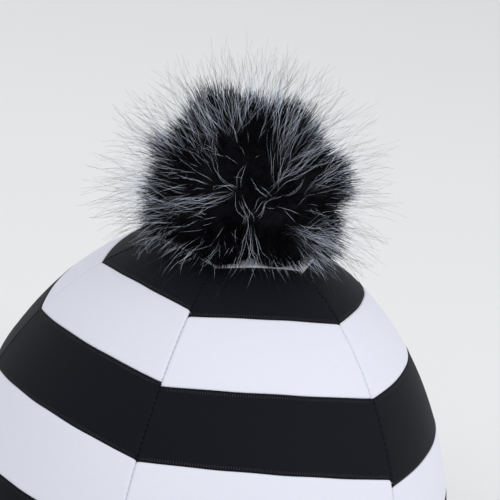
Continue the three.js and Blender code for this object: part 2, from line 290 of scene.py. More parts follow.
def cloth_dip(from_gore_seam, from_hoop_seam, along, phase):
    """How far the cloth's face lies under the crown's form: its rolled edges and its puckers."""
    roll = SEAM_ROLL * np.exp(-((from_gore_seam / SEAM_ROLL_WIDTH) ** 2))
    swell = 0.5 + 0.5 * np.sin(along / PUCKER_SWELL + phase)
    pucker = PUCKER * swell * np.sin(along / PUCKER_LENGTH + phase)
    fading = np.exp(-from_gore_seam / PUCKER_REACH)
    edge_roll = EDGE_ROLL * np.exp(-((from_hoop_seam / EDGE_ROLL_WIDTH) ** 2))
    return roll + pucker * fading + edge_roll


def shell_mesh(name, outer, inner, edge_mm, uv):
    """A closed body between two grids of points, with its distance from an edge and its cut map."""
    columns, rows = outer.shape[:2]
    size = columns * rows
    at = np.arange(size).reshape(columns, rows)
    face_outer = np.stack([at[:-1, :-1], at[:-1, 1:], at[1:, 1:], at[1:, :-1]], -1).reshape(-1, 4)
    face_inner = face_outer[:, ::-1] + size
    border = np.concatenate([at[:, 0], at[-1, 1:], at[-2::-1, -1], at[0, -2:0:-1]])
    following = np.roll(border, -1)
    face_rim = np.stack([border, following, following + size, border + size], -1)
    faces = np.concatenate([face_outer, face_inner, face_rim])
    mesh = bpy.data.meshes.new(name)
    points = np.concatenate([outer.reshape(-1, 3), inner.reshape(-1, 3)])
    mesh.from_pydata(points.tolist(), [], faces.tolist())
    layer = mesh.attributes.new("edge_mm", "FLOAT", "POINT")
    layer.data.foreach_set("value", np.tile(edge_mm.ravel(), 2).astype(np.float32))
    corners = np.empty(len(mesh.loops), np.int32)
    mesh.loops.foreach_get("vertex_index", corners)
    uv_both = np.tile(uv.reshape(-1, 2), (2, 1))[corners]
    mesh.uv_layers.new(name="cut").uv.foreach_set("vector", uv_both.astype(np.float32).ravel())
    mesh.polygons.foreach_set("use_smooth", [True] * len(mesh.polygons))
    mesh.update()
    return mesh


def strip_mesh(gore_index, hoop_index):
    """One strip of one gore, and the width, height and area of its face."""
    middle_falls, middle_lengths = meridian(turn_at(gore_index))
    last = hoop_index == len(HOOPS) - 1
    upper = HOOPS[hoop_index - 1]["edge"] * FRONT_LENGTH if hoop_index else TIP_OPENING / 2
    lower = middle_lengths[-1] - HEM_HEIGHT if last else HOOPS[hoop_index]["edge"] * FRONT_LENGTH
    middle_fall = np.interp((upper + lower) / 2, middle_lengths, middle_falls)
    ends = [crown_point(turn_at(gore_index + side / 2), middle_fall) for side in (-1, 0, 1)]
    chords = float(np.linalg.norm(ends[1] - ends[0]) + np.linalg.norm(ends[2] - ends[1]))
    width = chords * ARC_OVER_CHORDS
    acrosses = fine_then_coarse(width) / width * 2 - 1
    downs = fine_then_coarse(lower - upper) / (lower - upper)
    shape = (len(acrosses), len(downs))
    outer, inner = np.empty((*shape, 3)), np.empty((*shape, 3))
    edge_mm, uv = np.empty(shape), np.empty((*shape, 2))
    for i, across in enumerate(acrosses):
        turn = turn_at(gore_index + across / 2)
        falls, lengths = meridian(turn)
        top, bottom = strip_ends(hoop_index, gore_index, across, width / 2, lengths[-1])
        length = top + (bottom - top) * downs
        fall = np.interp(length, lengths, falls)
        radius = np.linalg.norm(crown_point(turn, fall)[:, :2] - (0, CROWN_AXIS_Y), axis=1)
        shifted = turn - across * JOIN_GAP / 2 / radius
        from_gore_seam = (1 - abs(across)) * width / 2 * radius / np.median(radius)
        from_hoop_seam = np.minimum(length - top, bottom - length)
        phase = PUCKER_GORE_STEP * (gore_index + (across > 0)) + PUCKER_HOOP_STEP * hoop_index
        dip = cloth_dip(from_gore_seam, from_hoop_seam, length, phase)
        outer[i] = crown_point(shifted, fall, -dip)
        inner[i] = crown_point(shifted, fall, -CLOTH_THICKNESS - UNDERSIDE_DROP)
        edge_mm[i] = from_hoop_seam / MM
        uv[i] = np.stack([np.full(len(length), across * width / 2), length], -1) / MM / CUT_MM
    mesh = shell_mesh(f"{GORES[gore_index]}_{HOOPS[hoop_index]['name']}", outer, inner, edge_mm, uv)
    across_steps, down_steps = outer[1:] - outer[:-1], outer[:, 1:] - outer[:, :-1]
    widest = np.linalg.norm(across_steps, axis=-1).sum(0).max()
    longest = np.linalg.norm(down_steps, axis=-1).sum(1).max()
    area = np.linalg.norm(np.cross(across_steps[:, :-1], down_steps[:-1]), axis=-1).sum()
    return mesh, float(widest), float(longest), float(area)


def add_node(tree, kind, inputs=None, **settings):
    """One node with its settings and inputs. An input is a value, or the socket that feeds it."""
    node = tree.nodes.new(kind)
    for name, value in settings.items():
        setattr(node, name, value)
    for name, value in (inputs or {}).items():
        if isinstance(value, bpy.types.NodeSocket):
            tree.links.new(value, node.inputs[name])
        else:
            node.inputs[name].default_value = value
    return node


def made(tree, kind, inputs=None, **settings):
    """What one node puts out first."""
    return add_node(tree, kind, inputs, **settings).outputs[0]


def node_group(kind, name, inputs, outputs):
    """A group, with each input given as its value or its kind, and each output as its kind."""
    group = bpy.data.node_groups.new(name, kind)
    kinds = {float: "Float", int: "Int"}
    for in_out, sockets in (("INPUT", inputs), ("OUTPUT", outputs)):
        for socket_name, value in sockets.items():
            socket_kind = "NodeSocket" + (kinds[type(value)] if type(value) in kinds else value)
            socket = group.interface.new_socket(name=socket_name, in_out=in_out, socket_type=socket_kind)
            if type(value) in kinds:
                socket.default_value = value
    return group, group.nodes.new("NodeGroupInput").outputs, group.nodes.new("NodeGroupOutput").inputs


def placed(tree, group, inputs):
    """A group set in a tree with its inputs, and what it puts out."""
    kind = group.bl_idname.replace("NodeTree", "NodeGroup")
    return add_node(tree, kind, inputs, node_tree=group).outputs


def number(tree, operation, first, second=0.0, third=0.0):
    """One step of arithmetic in a tree."""
    return made(tree, "ShaderNodeMath", {0: first, 1: second, 2: third}, operation=operation)


def times(tree, product, *factors):
    for factor in factors:
        product = number(tree, "MULTIPLY", product, factor)
    return product


def plus(tree, first, second):
    return number(tree, "ADD", first, second)


def minus(tree, first, second):
    return number(tree, "SUBTRACT", first, second)


def vector(tree, operation, first, second=(0, 0, 0), scale=1.0):
    """One step of vector arithmetic in a tree."""
    step = add_node(tree, "ShaderNodeVectorMath", {0: first, 1: second, 3: scale}, operation=operation)
    return step.outputs[1 if operation == "DOT_PRODUCT" else 0]


def parts(tree, whole):
    """A vector's three numbers."""
    return add_node(tree, "ShaderNodeSeparateXYZ", {0: whole}).outputs


def fade(tree, value, start, end, low=0.0, high=1.0):
    """A value that runs smoothly from low at start to high at end."""
    sockets = {"Value": value, "From Min": start, "From Max": end, "To Min": low, "To Max": high}
    return made(tree, "ShaderNodeMapRange", sockets, interpolation_type="SMOOTHSTEP")


def noise(tree, place, scale, detail):
    """Soft random patches, as a value and as a colour."""
    sockets = {"Vector": place, "Scale": scale, "Detail": detail}
    return add_node(tree, "ShaderNodeTexNoise", sockets).outputs


def ribbing(tree, place, pitch, share=1.0):
    """A sine wave along a place. Its pitch is a share of the one that is given."""
    turns = number(tree, "DIVIDE", times(tree, place, 2 * math.pi / share), pitch)
    return number(tree, "SINE", turns)


# Smooth warp knit: fine ribs down the cloth, finer loops across them, and a soft unevenness.
LOOP_PITCH_SHARE = 0.8
SLUB_SCALE = 0.35
GRAIN_SCALE = 2.4
WEAVE_HEIGHT_MM = 0.03
ROUGHNESS_UNEVENNESS = 0.2
knit, knit_in, knit_out = node_group(
    "ShaderNodeTree",
    "stretch_knit",
    {"Cut": "Vector", "Rib pitch": 0.42, "Unevenness": 0.3},
    {"Height": "Float", "Tone": "Float"},
)
in_mm = vector(knit, "SCALE", knit_in["Cut"], scale=float(CUT_MM))
cut = parts(knit, in_mm)
ribs = ribbing(knit, cut[0], knit_in["Rib pitch"])
loops = ribbing(knit, cut[1], knit_in["Rib pitch"], LOOP_PITCH_SHARE)
slub = noise(knit, in_mm, SLUB_SCALE, 3.0)["Fac"]
grain = noise(knit, in_mm, GRAIN_SCALE, 2.0)["Fac"]
weave = number(knit, "MULTIPLY_ADD", ribs, 0.5, times(knit, loops, 0.25))
knit.links.new(number(knit, "MULTIPLY_ADD", grain, 0.8, weave), knit_out["Height"])
mottle = plus(knit, number(knit, "MULTIPLY_ADD", grain, 0.6, slub), -0.8)
knit.links.new(number(knit, "MULTIPLY_ADD", mottle, knit_in["Unevenness"], 1.0), knit_out["Tone"])

# Overlock stitches that press through from behind: a row of short bars beside a hoop's edge, which
# shows in some places along it and not in others. Lengths are in mm.
NEAR_FADE = 0.3
FAR_FADE = 0.4
PLACES_SCALE = 0.09
PLACES_FADE = (0.4, 0.6)
overlock, lock_in, lock_out = node_group(
    "ShaderNodeTree",
    "overlock_row",
    {"Cut": "Vector", "From edge": 10.0, "Pitch": 1.0, "Near": 0.7, "Far": 2.3},
    {"Bar": "Float"},
)
lock_mm = vector(overlock, "SCALE", lock_in["Cut"], scale=float(CUT_MM))
bar_wave = ribbing(overlock, parts(overlock, lock_mm)[0], lock_in["Pitch"])
bars = number(overlock, "MULTIPLY_ADD", bar_wave, 0.5, 0.5)
near, far = lock_in["Near"], lock_in["Far"]
past_near = fade(overlock, lock_in["From edge"], near, plus(overlock, near, NEAR_FADE))
before_far = fade(overlock, lock_in["From edge"], minus(overlock, far, FAR_FADE), far, 1.0, 0.0)
some_places = fade(overlock, noise(overlock, lock_mm, PLACES_SCALE, 1.0)["Fac"], *PLACES_FADE)
shown = times(overlock, some_places, times(overlock, past_near, before_far))
overlock.links.new(times(overlock, bars, shown), lock_out["Bar"])


def tint(tree, shader, colour, tone):
    """A material's colour, made lighter and darker by a tone that changes over the surface."""
    tree.links.new(vector(tree, "SCALE", colour, scale=tone), shader.inputs["Base Color"])


def emboss(tree, shader, height, distance, strength=1.0):
    """A material's fine relief. Distance is the height that a value of 1 stands for."""
    relief = {"Height": height, "Distance": distance, "Strength": strength}
    tree.links.new(made(tree, "ShaderNodeBump", relief), shader.inputs["Normal"])


def cloth_material(name, colour, unevenness, bar_depth, bar_painted_shade, roughness, specular, sheen):
    """Stretch cloth in one colour. Bar depth is in mm; bar painted shade is a share of the colour."""
    material, tree, shader = principled(name, {
        "Specular IOR Level": specular,
        "Sheen Weight": sheen,
        "Sheen Roughness": 0.4,
        "Sheen Tint": (0.9, 0.92, 1.0, 1),
    })
    cut_map = made(tree, "ShaderNodeUVMap", uv_map="cut")
    edge = add_node(tree, "ShaderNodeAttribute", attribute_name="edge_mm").outputs["Fac"]
    fabric = placed(tree, knit, {"Cut": cut_map, "Unevenness": unevenness})
    bar = placed(tree, overlock, {"Cut": cut_map, "From edge": edge})["Bar"]
    # The colour is darkened over the overlock bars: painted shade in their dents.
    tint(tree, shader, colour, number(tree, "MULTIPLY_ADD", bar, -bar_painted_shade, fabric["Tone"]))
    base = roughness - ROUGHNESS_UNEVENNESS
    rough = number(tree, "MULTIPLY_ADD", fabric["Tone"], ROUGHNESS_UNEVENNESS, base)
    tree.links.new(rough, shader.inputs["Roughness"])
    weave_height = times(tree, fabric["Height"], WEAVE_HEIGHT_MM)
    emboss(tree, shader, number(tree, "MULTIPLY_ADD", bar, -bar_depth, weave_height), MM, 0.8)
    return material


def dress(piece, node=None):
    """Every piece is fixed to the cap's one body. Some take a solid's place."""
    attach(piece, "root")
    if node:
        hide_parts(node)


cloth = {
    "white": cloth_material(
        "white_stretch_cloth", WHITE, unevenness=0.035, bar_depth=0.02, bar_painted_shade=0.012,
        roughness=0.72, specular=0.3, sheen=0.04),
    "black": cloth_material(
        "black_stretch_cloth", BLACK, unevenness=0.5, bar_depth=0.12, bar_painted_shade=0.35,
        roughness=0.62, specular=0.07, sheen=0.01),
}
for gore_index, gore in enumerate(GORES):
    for hoop_index, hoop in enumerate(HOOPS):
        strip, strip_width, strip_height, strip_area = strip_mesh(gore_index, hoop_index)
        piece = add_object(f"{gore}_{hoop['name']}_cloth", strip)
        strip.materials.append(cloth[hoop["cloth"]])
        dress(piece, f"{gore}_{hoop['name']}")


# The crown's stitches
# Each edge of a black hoop has a row of overlock stitches under it, which press through the
# cloth as short bars. A ladder of single stitches crosses each gore seam, grey in the white
# cloth and black in the black.
BAR_FROM_EDGE = 1.3 * MM
BAR_ROW_SHARE = 0.97
BAR_ROW_POINTS = 30
BARS = {"Pitch": 1.0 * MM, "Length": 1.2 * MM, "Thickness": 0.34 * MM,
        "Arch": 0.14 * MM, "Sunk": 0.2 * MM, "Turned": math.pi / 2}
LADDER_FROM_TOP = 17 * MM
LADDER_POINTS = 12
LADDER = {"Pitch": 2.2 * MM, "Length": 0.8 * MM, "Thickness": 0.2 * MM,
          "Arch": 0.2 * MM, "Sunk": 0.3 * MM, "Turned": math.pi / 2}
HALF_GORE = 40 * MM
PRESSED_THROUGH = (0.013, 0.0135, 0.018)
GREY_THREAD = (0.61, 0.62, 0.68)
BLACK_THREAD = (0.006, 0.006, 0.008)
THREAD_GRAIN_SCALE = 2500.0
THREAD_GRAIN_HEIGHT = 0.03 * MM
THREAD_SIDES = 4
THREAD_POINTS = 4


def stored(tree, geometry, name, kind, value):
    sockets = {"Geometry": geometry, "Name": name, "Value": value}
    return made(tree, "GeometryNodeStoreNamedAttribute", sockets, data_type=kind)


def recalled(tree, name, kind):
    return made(tree, "GeometryNodeInputNamedAttribute", {"Name": name}, data_type=kind)


def tubes(tree, lines, sides, thickness, taper=1.0):
    """Lines as thin tubes with closed ends."""
    ring = made(tree, "GeometryNodeCurvePrimitiveCircle", {"Resolution": sides, "Radius": 1.0})
    girth = times(tree, thickness, 0.5, taper)
    sockets = {"Curve": lines, "Profile Curve": ring, "Scale": girth, "Fill Caps": True}
    return made(tree, "GeometryNodeCurveToMesh", sockets)


def end_tree(tree, shape, material, outputs):
    """Each tree ends in a smooth mesh of its own with its material."""
    shape = made(tree, "GeometryNodeSetShadeSmooth", {"Geometry": shape})
    shape = made(tree, "GeometryNodeRealizeInstances", {"Geometry": shape})
    shape = made(tree, "GeometryNodeSetMaterial", {"Geometry": shape, "Material": material})
    tree.links.new(shape, outputs[0])


def grown(name, tree, sizes, start=None):
    """A piece from a tree of nodes, as a plain mesh. Start is the mesh that the tree works on."""
    piece = add_object(name, start or bpy.data.meshes.new(name))
    modifier = piece.modifiers.new("grown", "NODES")
    modifier.node_group = tree
    for socket in tree.interface.items_tree:
        if socket.in_out == "INPUT" and socket.name in sizes:
            modifier[socket.identifier] = sizes[socket.name]
    depsgraph = bpy.context.evaluated_depsgraph_get()
    plain = bpy.data.meshes.new_from_object(
        piece.evaluated_get(depsgraph), preserve_all_data_layers=True, depsgraph=depsgraph
    )
    piece.modifiers.clear()
    piece.data = plain
    return piece


# Stitches along lines that lie on the cloth: each is a short thread whose ends dip into it.
stitches, stitch_in, stitch_out = node_group(
    "GeometryNodeTree",
    "stitch_row",
    {"Geometry": "Geometry", "Pitch": 0.002, "Length": 0.001, "Thickness": 0.0003, "Arch": 0.0002,
     "Sunk": 0.0001, "Turned": 0.0, "Zigzag": 0.0, "Material": "Material"},
    {"Geometry": "Geometry"},
)
rows = made(stitches, "GeometryNodeMeshToCurve", {"Mesh": stitch_in["Geometry"]})
rows = made(stitches, "GeometryNodeResampleCurve", {0: rows, 3: stitch_in["Pitch"]}, mode="LENGTH")
holes = add_node(stitches, "GeometryNodeCurveToPoints", {"Curve": rows}, mode="EVALUATED").outputs
face_out = recalled(stitches, "face_out", "FLOAT_VECTOR")
onward = {"Primary Axis": face_out, "Secondary Axis": holes["Tangent"]}
lay = made(stitches, "FunctionNodeAxesToRotation", onward, primary_axis="Z", secondary_axis="X")
odd = number(stitches, "MODULO", made(stitches, "GeometryNodeInputIndex"), 2.0)
swing = times(stitches, minus(stitches, odd, 0.5), stitch_in["Zigzag"], 2.0)
angle = plus(stitches, swing, stitch_in["Turned"])
turn_by = made(stitches, "FunctionNodeAxisAngleToRotation", {"Axis": (0, 0, 1), "Angle": angle})
lay_turned = {"Rotation": lay, "Rotate By": turn_by}
lay = made(stitches, "FunctionNodeRotateRotation", lay_turned, rotation_space="LOCAL")
half_length = times(stitches, stitch_in["Length"], 0.5)
start = made(stitches, "ShaderNodeCombineXYZ", {0: times(stitches, half_length, -1.0)})
end = made(stitches, "ShaderNodeCombineXYZ", {0: half_length})
thread = made(stitches, "GeometryNodeCurvePrimitiveLine", {"Start": start, "End": end})
thread = made(stitches, "GeometryNodeResampleCurve", {"Curve": thread, "Count": THREAD_POINTS})
along_thread = made(stitches, "GeometryNodeSplineParameter")
from_middle = number(stitches, "MULTIPLY_ADD", along_thread, 2.0, -1.0)
arch = minus(stitches, 1.0, times(stitches, from_middle, from_middle))
rise = minus(stitches, times(stitches, arch, stitch_in["Arch"]), stitch_in["Sunk"])
raised = made(stitches, "ShaderNodeCombineXYZ", {2: rise})
thread = made(stitches, "GeometryNodeSetPosition", {"Geometry": thread, "Offset": raised})
thread = tubes(stitches, thread, THREAD_SIDES, stitch_in["Thickness"])
one_to_a_hole = {"Points": holes["Points"], "Instance": thread, "Rotation": lay}
sewn = made(stitches, "GeometryNodeInstanceOnPoints", one_to_a_hole)
end_tree(stitches, sewn, stitch_in["Material"], stitch_out)


def on_crown(turn, length):
    """Points on the crown at lengths down one line, and the way out of the cloth at each."""
    falls, lengths = meridian(turn)
    fall = np.interp(length, lengths, falls)
    place = crown_point(turn, fall)
    outwards = crown_point(turn, fall, MM) - place
    return place, outwards / np.linalg.norm(outwards, axis=-1, keepdims=True)


def columns_of(places):
    """One line of stitches from its places and ways out, given in pairs."""
    return [np.array(column) for column in zip(*places)]


def line_mesh(name, lines):
    """Open lines as a mesh of edges. Each line is its points and the way out of the cloth at each."""
    edges, first = [], 0
    for places, _ in lines:
        edges += [(first + i, first + i + 1) for i in range(len(places) - 1)]
        first += len(places)
    mesh = bpy.data.meshes.new(name)
    mesh.from_pydata(np.concatenate([places for places, _ in lines]).tolist(), edges, [])
    ways_out = np.concatenate([ways for _, ways in lines]).astype(np.float32)
    layer = mesh.attributes.new("face_out", "FLOAT_VECTOR", "POINT")
    layer.data.foreach_set("vector", ways_out.ravel())
    return mesh


def thread_material(name, colour):
    """Spun thread, with a fine unevenness of tone."""
    material, tree, shader = principled(name, {"Roughness": 0.6})
    place = add_node(tree, "ShaderNodeTexCoord").outputs["Object"]
    speck = noise(tree, place, THREAD_GRAIN_SCALE, 2.0)["Fac"]
    tint(tree, shader, colour, number(tree, "MULTIPLY_ADD", speck, 0.5, 0.75))
    emboss(tree, shader, speck, THREAD_GRAIN_HEIGHT)
    return material


def sew(name, lines, material, sizes):
    sewn_piece = grown(name, stitches, {**sizes, "Material": material}, line_mesh(f"{name}_lines", lines))
    dress(sewn_piece)


grey_thread = thread_material("grey_thread", GREY_THREAD)
black_thread = thread_material("black_thread", BLACK_THREAD)
pressed_through = thread_material("pressed_through", PRESSED_THROUGH)
bar_lines = []
ladder_lines = {"white": [], "black": []}
for gore_index in range(len(GORES)):
    for hoop_index in range(len(HOOPS) - 1):
        into_black = -BAR_FROM_EDGE if HOOPS[hoop_index]["cloth"] == "black" else BAR_FROM_EDGE
        bar_places = []
        for across in np.linspace(-BAR_ROW_SHARE, BAR_ROW_SHARE, BAR_ROW_POINTS):
            length = edge_length(hoop_index, gore_index, across, HALF_GORE) + into_black
            bar_places.append(on_crown(turn_at(gore_index + across / 2), length))
        bar_lines.append(columns_of(bar_places))
    seam_turn = turn_at(gore_index + 0.5)
    whole = meridian(seam_turn)[1][-1]
    seam_edges = [edge_length(i, gore_index, 1, HALF_GORE) for i in range(len(HOOPS) - 1)]
    tops = [LADDER_FROM_TOP, *seam_edges]
    for hoop, top, bottom in zip(HOOPS, tops, [*seam_edges, whole - HEM_HEIGHT]):
        steps = np.linspace(top + MM, bottom - MM, LADDER_POINTS)
        ladder_lines[hoop["cloth"]].append(on_crown(seam_turn, steps))
sew("overlock_bars", bar_lines, pressed_through, BARS)
sew("white_cloth_ladder", ladder_lines["white"], grey_thread, LADDER)
sew("black_cloth_ladder", ladder_lines["black"], black_thread, LADDER)


# The hem
# A band of woven elastic, with ribs that run round it, sewn to the crown's edge with two rows of
# zigzag. It draws the cloth in under the widest part, so the band stands in slight gathers.
HEM_THICKNESS = 2.5 * MM
HEM_RIBS = 7
HEM_RIB_DEPTH = 0.35 * MM
HEM_GATHERS = 120
HEM_GATHER_DEPTH = 0.25 * MM
HEM_CORNER = 0.6 * MM
HEM_CORNER_DROP = 0.4 * MM
HEM_RIB_HEIGHT = 0.08 * MM
HEM_MERIDIAN_STEPS = 120
COLUMNS_PER_GATHER = 5
ROWS_PER_RIB = 4
ELASTIC_BLACK = (0.011, 0.011, 0.014)
ZIGZAG_HEIGHTS = (3 * MM, 9 * MM)
ZIGZAG_POINTS = 181
ZIGZAG = {"Pitch": 1.6 * MM, "Length": 2.6 * MM, "Thickness": 0.3 * MM,
          "Arch": 0.15 * MM, "Sunk": 0.1 * MM, "Zigzag": math.radians(52)}


def hem_mesh():
    """The elastic band, closed all round, and its length round the cap."""
    columns = HEM_GATHERS * COLUMNS_PER_GATHER
    downs = np.linspace(0, 1, HEM_RIBS * ROWS_PER_RIB + 1)
    ribs = HEM_RIB_DEPTH * (np.abs(np.sin(downs * HEM_RIBS * math.pi)) - 1)
    corner = np.minimum(np.minimum(downs, 1 - downs) * HEM_HEIGHT / HEM_CORNER, 1)
    ribs -= HEM_CORNER_DROP * (1 - np.sqrt(1 - (1 - corner) ** 2))
    loops = []
    for i in range(columns):
        turn = 2 * math.pi * i / columns
        falls, lengths = meridian(turn, HEM_MERIDIAN_STEPS)
        fall = np.interp(lengths[-1] - HEM_HEIGHT * (1 - downs), lengths, falls)
        gather = HEM_GATHER_DEPTH * (math.cos(turn * HEM_GATHERS) - 1) / 2
        outer = crown_point(turn, fall, ribs + gather * np.sin(downs * math.pi))
        inner = crown_point(turn, fall[::-2], -HEM_THICKNESS + gather)
        loops.append(np.concatenate([outer, inner]))
    loops = np.array(loops)
    rows = loops.shape[1]
    at = np.arange(columns * rows).reshape(columns, rows)
    beside, under = np.roll(at, -1, 0), np.roll(at, -1, 1)
    faces = np.stack([at, under, np.roll(under, -1, 0), beside], -1).reshape(-1, 4)
    mesh = bpy.data.meshes.new("hem_elastic")
    mesh.from_pydata(loops.reshape(-1, 3).tolist(), [], faces.tolist())
    middle_loop = loops[:, len(downs) // 2]
    round_length = float(np.linalg.norm(np.diff(middle_loop, axis=0), axis=1).sum())
    here, there = np.arange(columns), np.arange(1, columns + 1)
    down = np.concatenate([downs, downs[::-2]])
    down_next = np.roll(down, -1)
    corners = np.empty((columns, rows, 4, 2))
    round_share = np.stack([here, here, there, there], -1)[:, None, :] / columns
    corners[..., 0] = round_share * round_length / MM / CUT_MM
    corners[..., 1] = np.stack([down, down_next, down_next, down], -1)[None] * HEM_HEIGHT / MM / CUT_MM
    mesh.uv_layers.new(name="cut").uv.foreach_set("vector", corners.astype(np.float32).ravel())
    mesh.polygons.foreach_set("use_smooth", [True] * len(mesh.polygons))
    mesh.update()
    return mesh, round_length


elastic, elastic_tree, elastic_shader = principled(
    "woven_elastic", {"Roughness": 0.7, "Specular IOR Level": 0.3}
)
band_map = made(elastic_tree, "ShaderNodeUVMap", uv_map="cut")
band = placed(elastic_tree, knit, {"Cut": band_map, "Rib pitch": 0.9, "Unevenness": 0.8})
tint(elastic_tree, elastic_shader, ELASTIC_BLACK, band["Tone"])
emboss(elastic_tree, elastic_shader, band["Height"], HEM_RIB_HEIGHT, 0.9)
hem_data, hem_length = hem_mesh()
hem = add_object("hem_elastic", hem_data)
hem_data.materials.append(elastic)
dress(hem, "hem")
zigzag_lines = []
for height in ZIGZAG_HEIGHTS:
    turns = np.linspace(-math.pi, math.pi, ZIGZAG_POINTS)
    down = [meridian(turn, HEM_MERIDIAN_STEPS)[1][-1] - height for turn in turns]
    zigzag_lines.append(columns_of([on_crown(*place) for place in zip(turns, down)]))
sew("hem_zigzag", zigzag_lines, grey_thread, ZIGZAG)


# The peak
# A short curved peak: board between two thin pads, covered in the black cloth and sewn to the
# crown's edge in front. One row of topstitch follows its free edge.
PEAK_DEPTH = 54 * MM
PEAK_GORES = 1.6
PEAK_THICKNESS = 3 * MM
PEAK_ROOT_MIDDLE = 21 * MM
PEAK_ROOT_END = 6 * MM
PEAK_FALL = 9 * MM
PEAK_CORNER = 5 * MM
PEAK_ROUNDING = 0.6
PEAK_FAN = 0.6
PEAK_SIDE_LENGTH = 95 * MM
PEAK_EDGE_ROUND = 1.6 * MM
PEAK_EDGE_HALF = 0.12 * MM
PEAK_SWELL = 0.5 * MM
PEAK_SWELL_REACH = 20 * MM
PEAK_COLUMNS = 81
PEAK_ROWS = 30
TOPSTITCH_INSET = 4.5 * MM
TOPSTITCH_GROOVE = 0.35 * MM
TOPSTITCH_GROOVE_WIDTH = 0.8 * MM
TOPSTITCH_SHARE = 0.93
TOPSTITCH_POINTS = 90
TOPSTITCH = {"Pitch": 3.2 * MM, "Length": 2.5 * MM, "Thickness": 0.4 * MM,
             "Arch": 0.3 * MM, "Sunk": 0.25 * MM}
NO_EDGE_NEAR_MM = 10.0


def fall_at_height(height):
    if height < RIM_DROP:
        return 2 - height / RIM_DROP
    risen = min((height - RIM_DROP) / DOME_HEIGHT, 1)
    return math.acos(risen ** (1 / TOP_FULLNESS)) * 2 / math.pi


def peak_point(side, way, rise):
    """A point of the peak. Side runs from -1 to 1, way from the root to the free edge."""
    turn = turn_at(side * PEAK_GORES / 2)
    middle_share = max(1 - side * side, 0)
    root_height = PEAK_ROOT_END + (PEAK_ROOT_MIDDLE - PEAK_ROOT_END) * middle_share + rise
    depth_share = middle_share**PEAK_ROUNDING
    depth = PEAK_CORNER + (PEAK_DEPTH - PEAK_CORNER) * depth_share
    place = crown_point(turn, fall_at_height(root_height), HEM_GAP)
    outward = np.array([PEAK_FAN * math.sin(turn), -PEAK_FAN * math.cos(turn) - (1 - PEAK_FAN), 0])
    place = place + outward / np.linalg.norm(outward) * depth * way
    place[2] = root_height - PEAK_FALL * depth_share * way * way
    return place, depth


def peak_half_thickness(side, way, depth):
    """Half the peak's thickness: it swells between its root and its topstitch, and has a round edge."""
    to_edge = min(depth * (1 - way), (1 - abs(side)) * PEAK_SIDE_LENGTH)
    round_off = math.sqrt(1 - (1 - min(to_edge / PEAK_EDGE_ROUND, 1)) ** 2)
    from_stitches = (to_edge - TOPSTITCH_INSET) / TOPSTITCH_GROOVE_WIDTH
    groove = TOPSTITCH_GROOVE * math.exp(-(from_stitches**2))
    swell = PEAK_SWELL * math.sin(math.pi * min(to_edge / PEAK_SWELL_REACH, 1) / 2)
    return max(PEAK_THICKNESS / 2 * round_off - groove + swell * way, PEAK_EDGE_HALF)


def peak_mesh():
    shape = (PEAK_COLUMNS, PEAK_ROWS)
    upper, lower, uv = np.empty((*shape, 3)), np.empty((*shape, 3)), np.empty((*shape, 2))
    for i, side in enumerate(np.sin(np.linspace(-math.pi / 2, math.pi / 2, PEAK_COLUMNS))):
        for j, way in enumerate(np.sin(np.linspace(0, math.pi / 2, PEAK_ROWS))):
            place, depth = peak_point(side, way, 0)
            thick = peak_half_thickness(side, way, depth)
            upper[i, j] = peak_point(side, way, thick)[0]
            lower[i, j] = peak_point(side, way, -thick)[0]
            uv[i, j] = place[:2] / MM / CUT_MM
    return shell_mesh("peak_cover", upper, lower, np.full(shape, NO_EDGE_NEAR_MM), uv)


peak_data = peak_mesh()
peak = add_object("peak_cover", peak_data)
peak_data.materials.append(cloth["black"])
dress(peak, "peak")
topstitch_places = []
for side in np.linspace(-TOPSTITCH_SHARE, TOPSTITCH_SHARE, TOPSTITCH_POINTS):
    way = 1 - TOPSTITCH_INSET / peak_point(side, 0, 0)[1]
    topstitch_places.append((peak_point(side, way, PEAK_THICKNESS / 2)[0], (0, 0, 1)))
sew("peak_topstitch", [columns_of(topstitch_places)], black_thread, TOPSTITCH)


# The pompom's core
# A ball of dense black fur, tied down hard on the crown's top. Its underfur is too thick to see
# into, so its mass is one body, with a dome for each tuft and a dent between them.
FUR_CENTRE = Vector((-2 * MM, CROWN_AXIS_Y, 171.2 * MM))
UNDERCOAT_REACH = {"Up": 52 * MM, "Side": 50 * MM, "Down": 51 * MM}
UPPER_HALF = (-0.35, 0.35)
TUFT_SEED = 1.0
TUFT_UNLIKENESS = 0.14
BALL_SUBDIVISIONS = 5
CORE_SHARE = 0.78
FUR_BLACK = (0.002, 0.002, 0.003)
# The undercoat's tips are coloured a little lighter and bluer than its roots as painted sheen.
FUR_PAINTED_SHEEN_BLACK = (0.004, 0.004, 0.006)
COLOUR_SCATTER = 0.16

# The fur's outline in a direction from its centre, with the tuft that the direction falls in.
tuft_form, form_in, form_out = node_group(
    "GeometryNodeTree",
    "tuft_form",
    {"Direction": "Vector", "Up": 0.05, "Side": 0.04, "Down": 0.03, "Tufts": 2.9, "Depth": 0.2},
    {"Reach": "Float", "Tuft": "Vector", "Tuft luck": "Float"},
)
lie = parts(tuft_form, form_in["Direction"])
more_above = minus(tuft_form, form_in["Up"], form_in["Down"])
above = fade(tuft_form, lie[2], *UPPER_HALF)
tall = number(tuft_form, "MULTIPLY_ADD", above, more_above, form_in["Down"])
level_part = plus(tuft_form, times(tuft_form, lie[0], lie[0]), times(tuft_form, lie[1], lie[1]))
side_squared = times(tuft_form, form_in["Side"], form_in["Side"])
level_part = number(tuft_form, "DIVIDE", level_part, side_squared)
rise_part = number(tuft_form, "DIVIDE", number(tuft_form, "ABSOLUTE", lie[2]), tall)
rise_part = number(tuft_form, "POWER", rise_part, 2.0)
smooth_reach = number(tuft_form, "INVERSE_SQRT", plus(tuft_form, level_part, rise_part))
tuft_cells = {"Vector": form_in["Direction"], "W": TUFT_SEED, "Scale": form_in["Tufts"]}
cells = add_node(tuft_form, "ShaderNodeTexVoronoi", tuft_cells, voronoi_dimensions="4D").outputs
hollow = times(tuft_form, cells["Distance"], cells["Distance"], form_in["Depth"])
